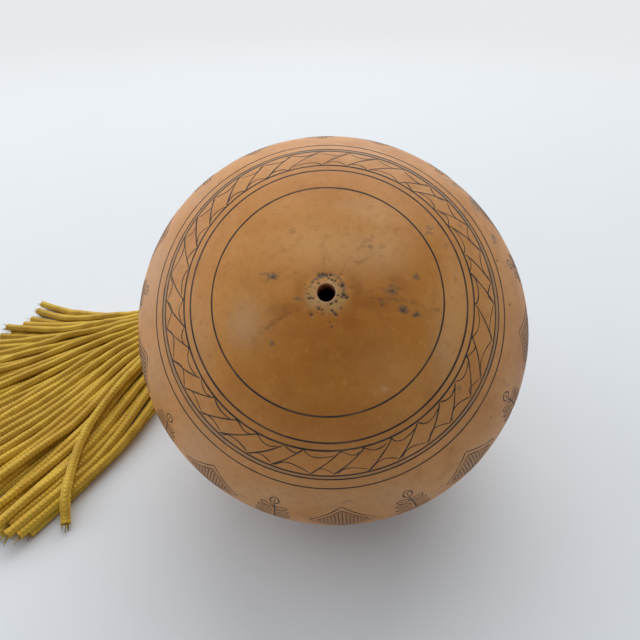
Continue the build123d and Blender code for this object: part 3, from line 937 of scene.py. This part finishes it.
def strand_route(index):
    """Control points of one strand, from under the neck's binding to its cut end."""
    place, row = index / (STRANDS - 1), ROW_ORDER[index % ROWS]
    angle = radians(FAN_START + FAN_SWEEP * bunched(place, 0))
    flare = NECK[:2] - np.array([cos(angle), sin(angle)]) * FLARE_R
    route = [neck_spot(index, 2.0, 4.0), neck_spot(index, -2.0, 4.2)]
    route.append(np.array([*flare, FLOOR_GAP + STRAND_R + LAYER * row]))
    for column, sink in ((1, 0.9), (2, 0.5), (3, 0.0)):
        drift = strand_dice.gauss(0, 0.003) * column
        spot_xy = along_guides(min(max(bunched(place, column) + drift, 0.0), 1.0), column)
        route.append(np.array([*spot_xy, FLOOR_GAP + STRAND_R + LAYER * ROW_LIFT[row][column] * sink]))
    route[-1] = route[-1] + normed(route[-1] - route[-2]) * strand_dice.uniform(-3.5, 0.8)
    return route


def clear_of_neck(points):
    """Which points lie out in the skirt, where the strands pile up."""
    return np.linalg.norm(points[:, :2] - NECK[:2], axis=1) >= PILE_START


def settled(points, placed, reach):
    """The same strand, lifted onto the ones that it lies across in the skirt."""
    apart = np.linalg.norm(points[:, None, :2] - placed[None, :, :2], axis=2)
    over = placed[:, 2] + np.sqrt(np.clip(reach ** 2 - apart ** 2, 0.0, None))
    need = np.where(apart < reach, over, 0.0).max(axis=1)
    need[~clear_of_neck(points)] = 0.0
    height = np.pad(np.maximum(points[:, 2], need), 2 * EASE, mode="edge")
    middles = range(EASE, len(height) - EASE)
    crest = np.array([height[middle - EASE:middle + EASE + 1].max() for middle in middles])
    weights = np.hanning(2 * EASE + 3)[1:-1]
    points[:, 2] = np.convolve(crest, weights / weights.sum(), mode="valid")
    return points


def stitched(marks, sides):
    """How far the chain stitches stand out, from 0 in the gaps to 1 on the loops."""
    edge = np.abs(2 * (np.arange(sides) * WALES / sides % 1.0) - 1.0)
    loop = np.abs(np.sin(pi * (marks[:, None] * COURSES + 0.6 * edge[None, :])))
    return loop ** 0.6 * (1.0 - edge ** 3)[None, :]


def yarn(name, points, marks):
    """One chainette strand, a little uneven, with a hollow cut end and a few loose fibres."""
    tone = strand_dice.random()
    swell = 1.0 + 0.03 * np.sin(marks * 0.35 + tone * 9) + 0.02 * np.sin(marks * 1.3 + tone * 20)
    swell[-4:] *= np.array([1.0, 1.03, 1.06, 1.05])
    bundle = Bundle()
    loops = STRAND_SKIN * swell[:, None] * (0.93 + 0.11 * stitched(marks, STRAND_SIDES))
    bundle.add(points, marks, loops, STRAND_SIDES, tone, 0.6)
    normals, binormals, ways = frames(points)
    share = np.linspace(0.0, 1.0, FIBRE_POINTS)[:, None]
    for fibre in range(FIBRES):
        turn, lean = strand_dice.uniform(0, tau), strand_dice.uniform(0.1, 0.5)
        out = circle(turn, normals[-1], binormals[-1])
        reach = strand_dice.uniform(0.7, 1.9)
        foot = points[-1] + out * 0.55 - ways[-1] * 0.4
        line = foot + (ways[-1] + out * lean * share) * share * (reach + 0.4)
        line[:, 2] = np.maximum(line[:, 2], FLOOR_GAP)
        thinning = np.linspace(0.13, 0.04, FIBRE_POINTS)[:, None]
        bundle.add(line, np.linspace(0.0, reach, FIBRE_POINTS), thinning, 5, tone * 0.5)
    return bundle.build(name, GOLD, "tassel", "tassel")


# One strand lies loose over all the others
LONE = 50
LONE_RUN = (
    (-50.4, 23.5, 7.4), (-56.2, 14.0, 4.5), (-60.3, 2.0, 3.0),
    (-62.3, -7.0, 3.0), (-60.5, -17.0, 2.0), (-57.7, -27.9, 1.1),
)
strand_dice = random.Random(11)
routes = [strand_route(index) for index in range(STRANDS)]
routes[LONE] = routes[LONE][:2] + [np.array(place) for place in LONE_RUN]

# The lowest row is laid first, the loose strand last
laying = sorted(range(STRANDS), key=lambda index: (index == LONE, ROW_ORDER[index % ROWS]))
placed = np.zeros((1, 3))
for order, index in enumerate(laying):
    points = settled(evenly(spline_points(routes[index]), ROUTE_POINTS)[0], placed, STRAND_REST)
    placed = np.concatenate([placed, points[clear_of_neck(points)]])
    points, marks = evenly(points, int(distances(points)[-1] * COURSES * STITCH_STEPS) + 1)
    strand = yarn(f"skirt_{index + 1:02d}", points, marks)
    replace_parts(strand, f"strand_{index + 1:02d}")

# Head: the same strands, folded over the cord and drawn in at the neck, round a core. Place along, radius.
HEAD_PROFILE = (
    (20.2, 1.0), (19.4, 2.7), (17.0, 4.6), (13.5, 5.35), (10.0, 4.9),
    (7.0, 4.1), (3.5, 4.0), (0.5, 4.05), (-2.0, 4.2),
)
CORE = ((19.0, 1.2), (17.0, 3.6), (13.5, 4.9), (10.0, 4.4), (7.0, 3.7), (3.5, 3.6), (0.0, 3.6), (-3.0, 1.0))
HEAD_POINTS = 70
head = Bundle()
for index in range(STRANDS):
    path = [neck_spot(index, along, radius) for along, radius in HEAD_PROFILE]
    points, marks = evenly(spline_points(path, 12), HEAD_POINTS)
    head.add(points, marks, STRAND_SKIN, 12, strand_dice.random())
core_along, core_radii = np.array(CORE).T
head.add(NECK + HEAD_WAY * core_along[:, None], np.arange(float(len(CORE))), core_radii[:, None], 20, 1.0)
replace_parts(head.build("head_strands", GOLD, "tassel", "tassel"), "tassel_head")

# Binding: one thread wound close round the neck
steps = np.linspace(0.0, THREAD_LOOPS, THREAD_LOOPS * 40)
coil = NECK + HEAD_WAY * (BINDING_START + THREAD_STEP * steps)[:, None]
coil = coil + circle(steps * tau, UP, HEAD_ACROSS) * (NECK_R + THREAD_R)
binding = Bundle()
binding.add(coil, distances(coil), THREAD_R, 10)
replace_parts(binding.build("neck_thread", THREAD_GOLD, "tassel", "binding"), "neck_binding")


# Hanger cord: plies twisted together

def plied(bundle, points, marks):
    """Adds the cord's plies, wound round a line."""
    normals, binormals = frames(points)[:2]
    for ply in range(PLIES):
        wind = marks / CORD_LAY * tau + ply * tau / PLIES
        line = points + circle(wind, normals, binormals) * CORD_R * 0.5
        bundle.add(line, marks, CORD_R * 0.52, 10, 0.3 * ply)


CORD_POINTS = 240
cord_start = CENTRE - AXIS * (scar_height + ROOT_OUT + BEND_PLAY + CORD_R)
cord_end = NECK + HEAD_WAY * (HEAD_TOP - 1.0)
cord_route = [
    cord_start, (0.0, 30.6, 4.7), (0.9, 36.6, 2.1), (0.7, 44.0, 1.4), (-2.4, 51.5, 1.5), (-8.0, 57.6, 2.7),
    (-14.8, 60.4, 4.9), NECK + HEAD_WAY * (HEAD_TOP + 6.1), cord_end,
]
points, marks = evenly(spline_points(cord_route), CORD_POINTS)
cord = Bundle()
plied(cord, points, marks)
cord_piece = cord.build("twisted_cord", CORD_GOLD, "cord", "cord")
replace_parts(cord_piece, "hanger_cord")

# Cord in the stem hole, and the knot that stops it inside
ROOT_POINTS, ROOT_RUN = 44, 7.0
KNOT_POINTS, KNOT_RUN, KNOT_SIZE, KNOT_RISE, KNOT_THICK = 160, 24.0, 0.62, 1.2, 1.15
root_heights = np.linspace(inner_drop - 1.5, scar_height + 2.3, ROOT_POINTS)
root = Bundle()
plied(root, CENTRE - AXIS * root_heights[:, None], np.linspace(0.0, ROOT_RUN, ROOT_POINTS))
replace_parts(root.build("cord_in_hole", CORD_GOLD, "gourd", "cord"), "cord_root")
knot_turn = np.linspace(0.0, tau, KNOT_POINTS)
knot_middle = CENTRE - AXIS * (inner_drop - 0.9 - 2.5)
knot_side = np.sin(knot_turn) + 2 * np.sin(2 * knot_turn)
knot_back = np.cos(knot_turn) - 2 * np.cos(2 * knot_turn)
knot_line = knot_middle + (SIDE * knot_side[:, None] + BACK * knot_back[:, None]) * KNOT_SIZE
knot_line = knot_line - AXIS * (np.sin(3 * knot_turn) * KNOT_RISE)[:, None]
knot = Bundle()
knot.add(knot_line, np.linspace(0.0, KNOT_RUN, KNOT_POINTS), KNOT_THICK, 12)
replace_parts(knot.build("stopper", CORD_GOLD, "gourd", "cord"), "stop_knot")

# Floor, light and camera
BACKGROUND = (0.8, 0.825, 0.845)
FADE_START, FADE_END = 0.14, 0.75
SKY_WAY = (-0.22, 0.5, 0.84)


def seen_rays(tree):
    """1 where the camera, a reflection or glass looks, 0 where light bounces."""
    ray = put(tree, "LightPath", {})
    mirrored = Value(ray, "Is Glossy Ray").calc("MAXIMUM", Value(ray, "Is Transmission Ray"))
    return mirrored.calc("MAXIMUM", Value(ray, "Is Camera Ray"))


def paper_material():
    """Pale paper that fades into the background far from the gourd."""
    made, tree, shader = material("paper")
    where = coordinates(tree, "Object")
    colour = where.noise(30.0, 2.0).mix((0.655, 0.675, 0.695), (0.675, 0.695, 0.715))
    plug(shader, {"Base Color": colour, "Roughness": 0.75, "Specular IOR Level": 0.2})
    away = Value(put(tree, "VectorMath", {0: where}, operation="LENGTH"), "Value")
    fade = away.span(FADE_START, FADE_END) * seen_rays(tree)
    backdrop = put(tree, "Emission", {"Color": BACKGROUND})
    faded = put(tree, "MixShader", {0: fade, 1: Value(shader), 2: Value(backdrop)})
    plug(tree.nodes["Material Output"], {"Surface": Value(faded)})
    return made


floor_mesh = bpy.data.meshes.new("floor")
floor_mesh.from_pydata([(-4, -4, 0), (4, -4, 0), (4, 4, 0), (-4, 4, 0)], [], [(0, 1, 2, 3)])
floor_mesh.materials.append(paper_material())
floor = place_object("floor", floor_mesh)


def soft_light(name, place, aim, size, power, colour):
    lamp = bpy.data.lights.new(name, "AREA")
    lamp.shape, lamp.size, lamp.energy, lamp.color = "DISK", size, power, colour
    thing = place_object(name, lamp)
    thing.location = place
    way = np.array(aim) - np.array(place)
    thing.rotation_euler = (atan2(hypot(way[0], way[1]), -way[2]), 0, atan2(-way[0], way[1]))


soft_light("softbox", (0.04, 0.88, 0.86), (0, 0, 0.02), 1.5, 9.4, (1.0, 0.99, 0.97))
soft_light("side_card", (-0.8, 0.15, 0.3), (0, 0, 0.03), 0.9, 2.7, (0.97, 0.98, 1.0))

# Light from all round, stronger from above and behind. The camera sees a plain tone instead.
scene.world = scene.world or bpy.data.worlds.new("world")
scene.world.use_nodes = True
sky = scene.world.node_tree
facing = put(sky, "VectorMath", {0: coordinates(sky, "Generated"), 1: SKY_WAY}, operation="DOT_PRODUCT")
glow = Value(facing, "Value").span(-0.35, 0.85).mix((0.1, 0.1, 0.102), (0.84, 0.88, 0.92))
plug(sky.nodes["Background"], {0: seen_rays(sky).mix(glow, BACKGROUND)})
scene.view_settings.view_transform = "Standard"

lens = bpy.data.cameras.new("camera")
lens.lens, lens.sensor_width, lens.clip_start = 27.0, 36.0, 0.005
camera = place_object("camera", lens)
camera.location = (0.0023, -0.07994, 0.10408)
camera.rotation_euler = (radians(51.42), 0.0, radians(3.3))
scene.camera = camera
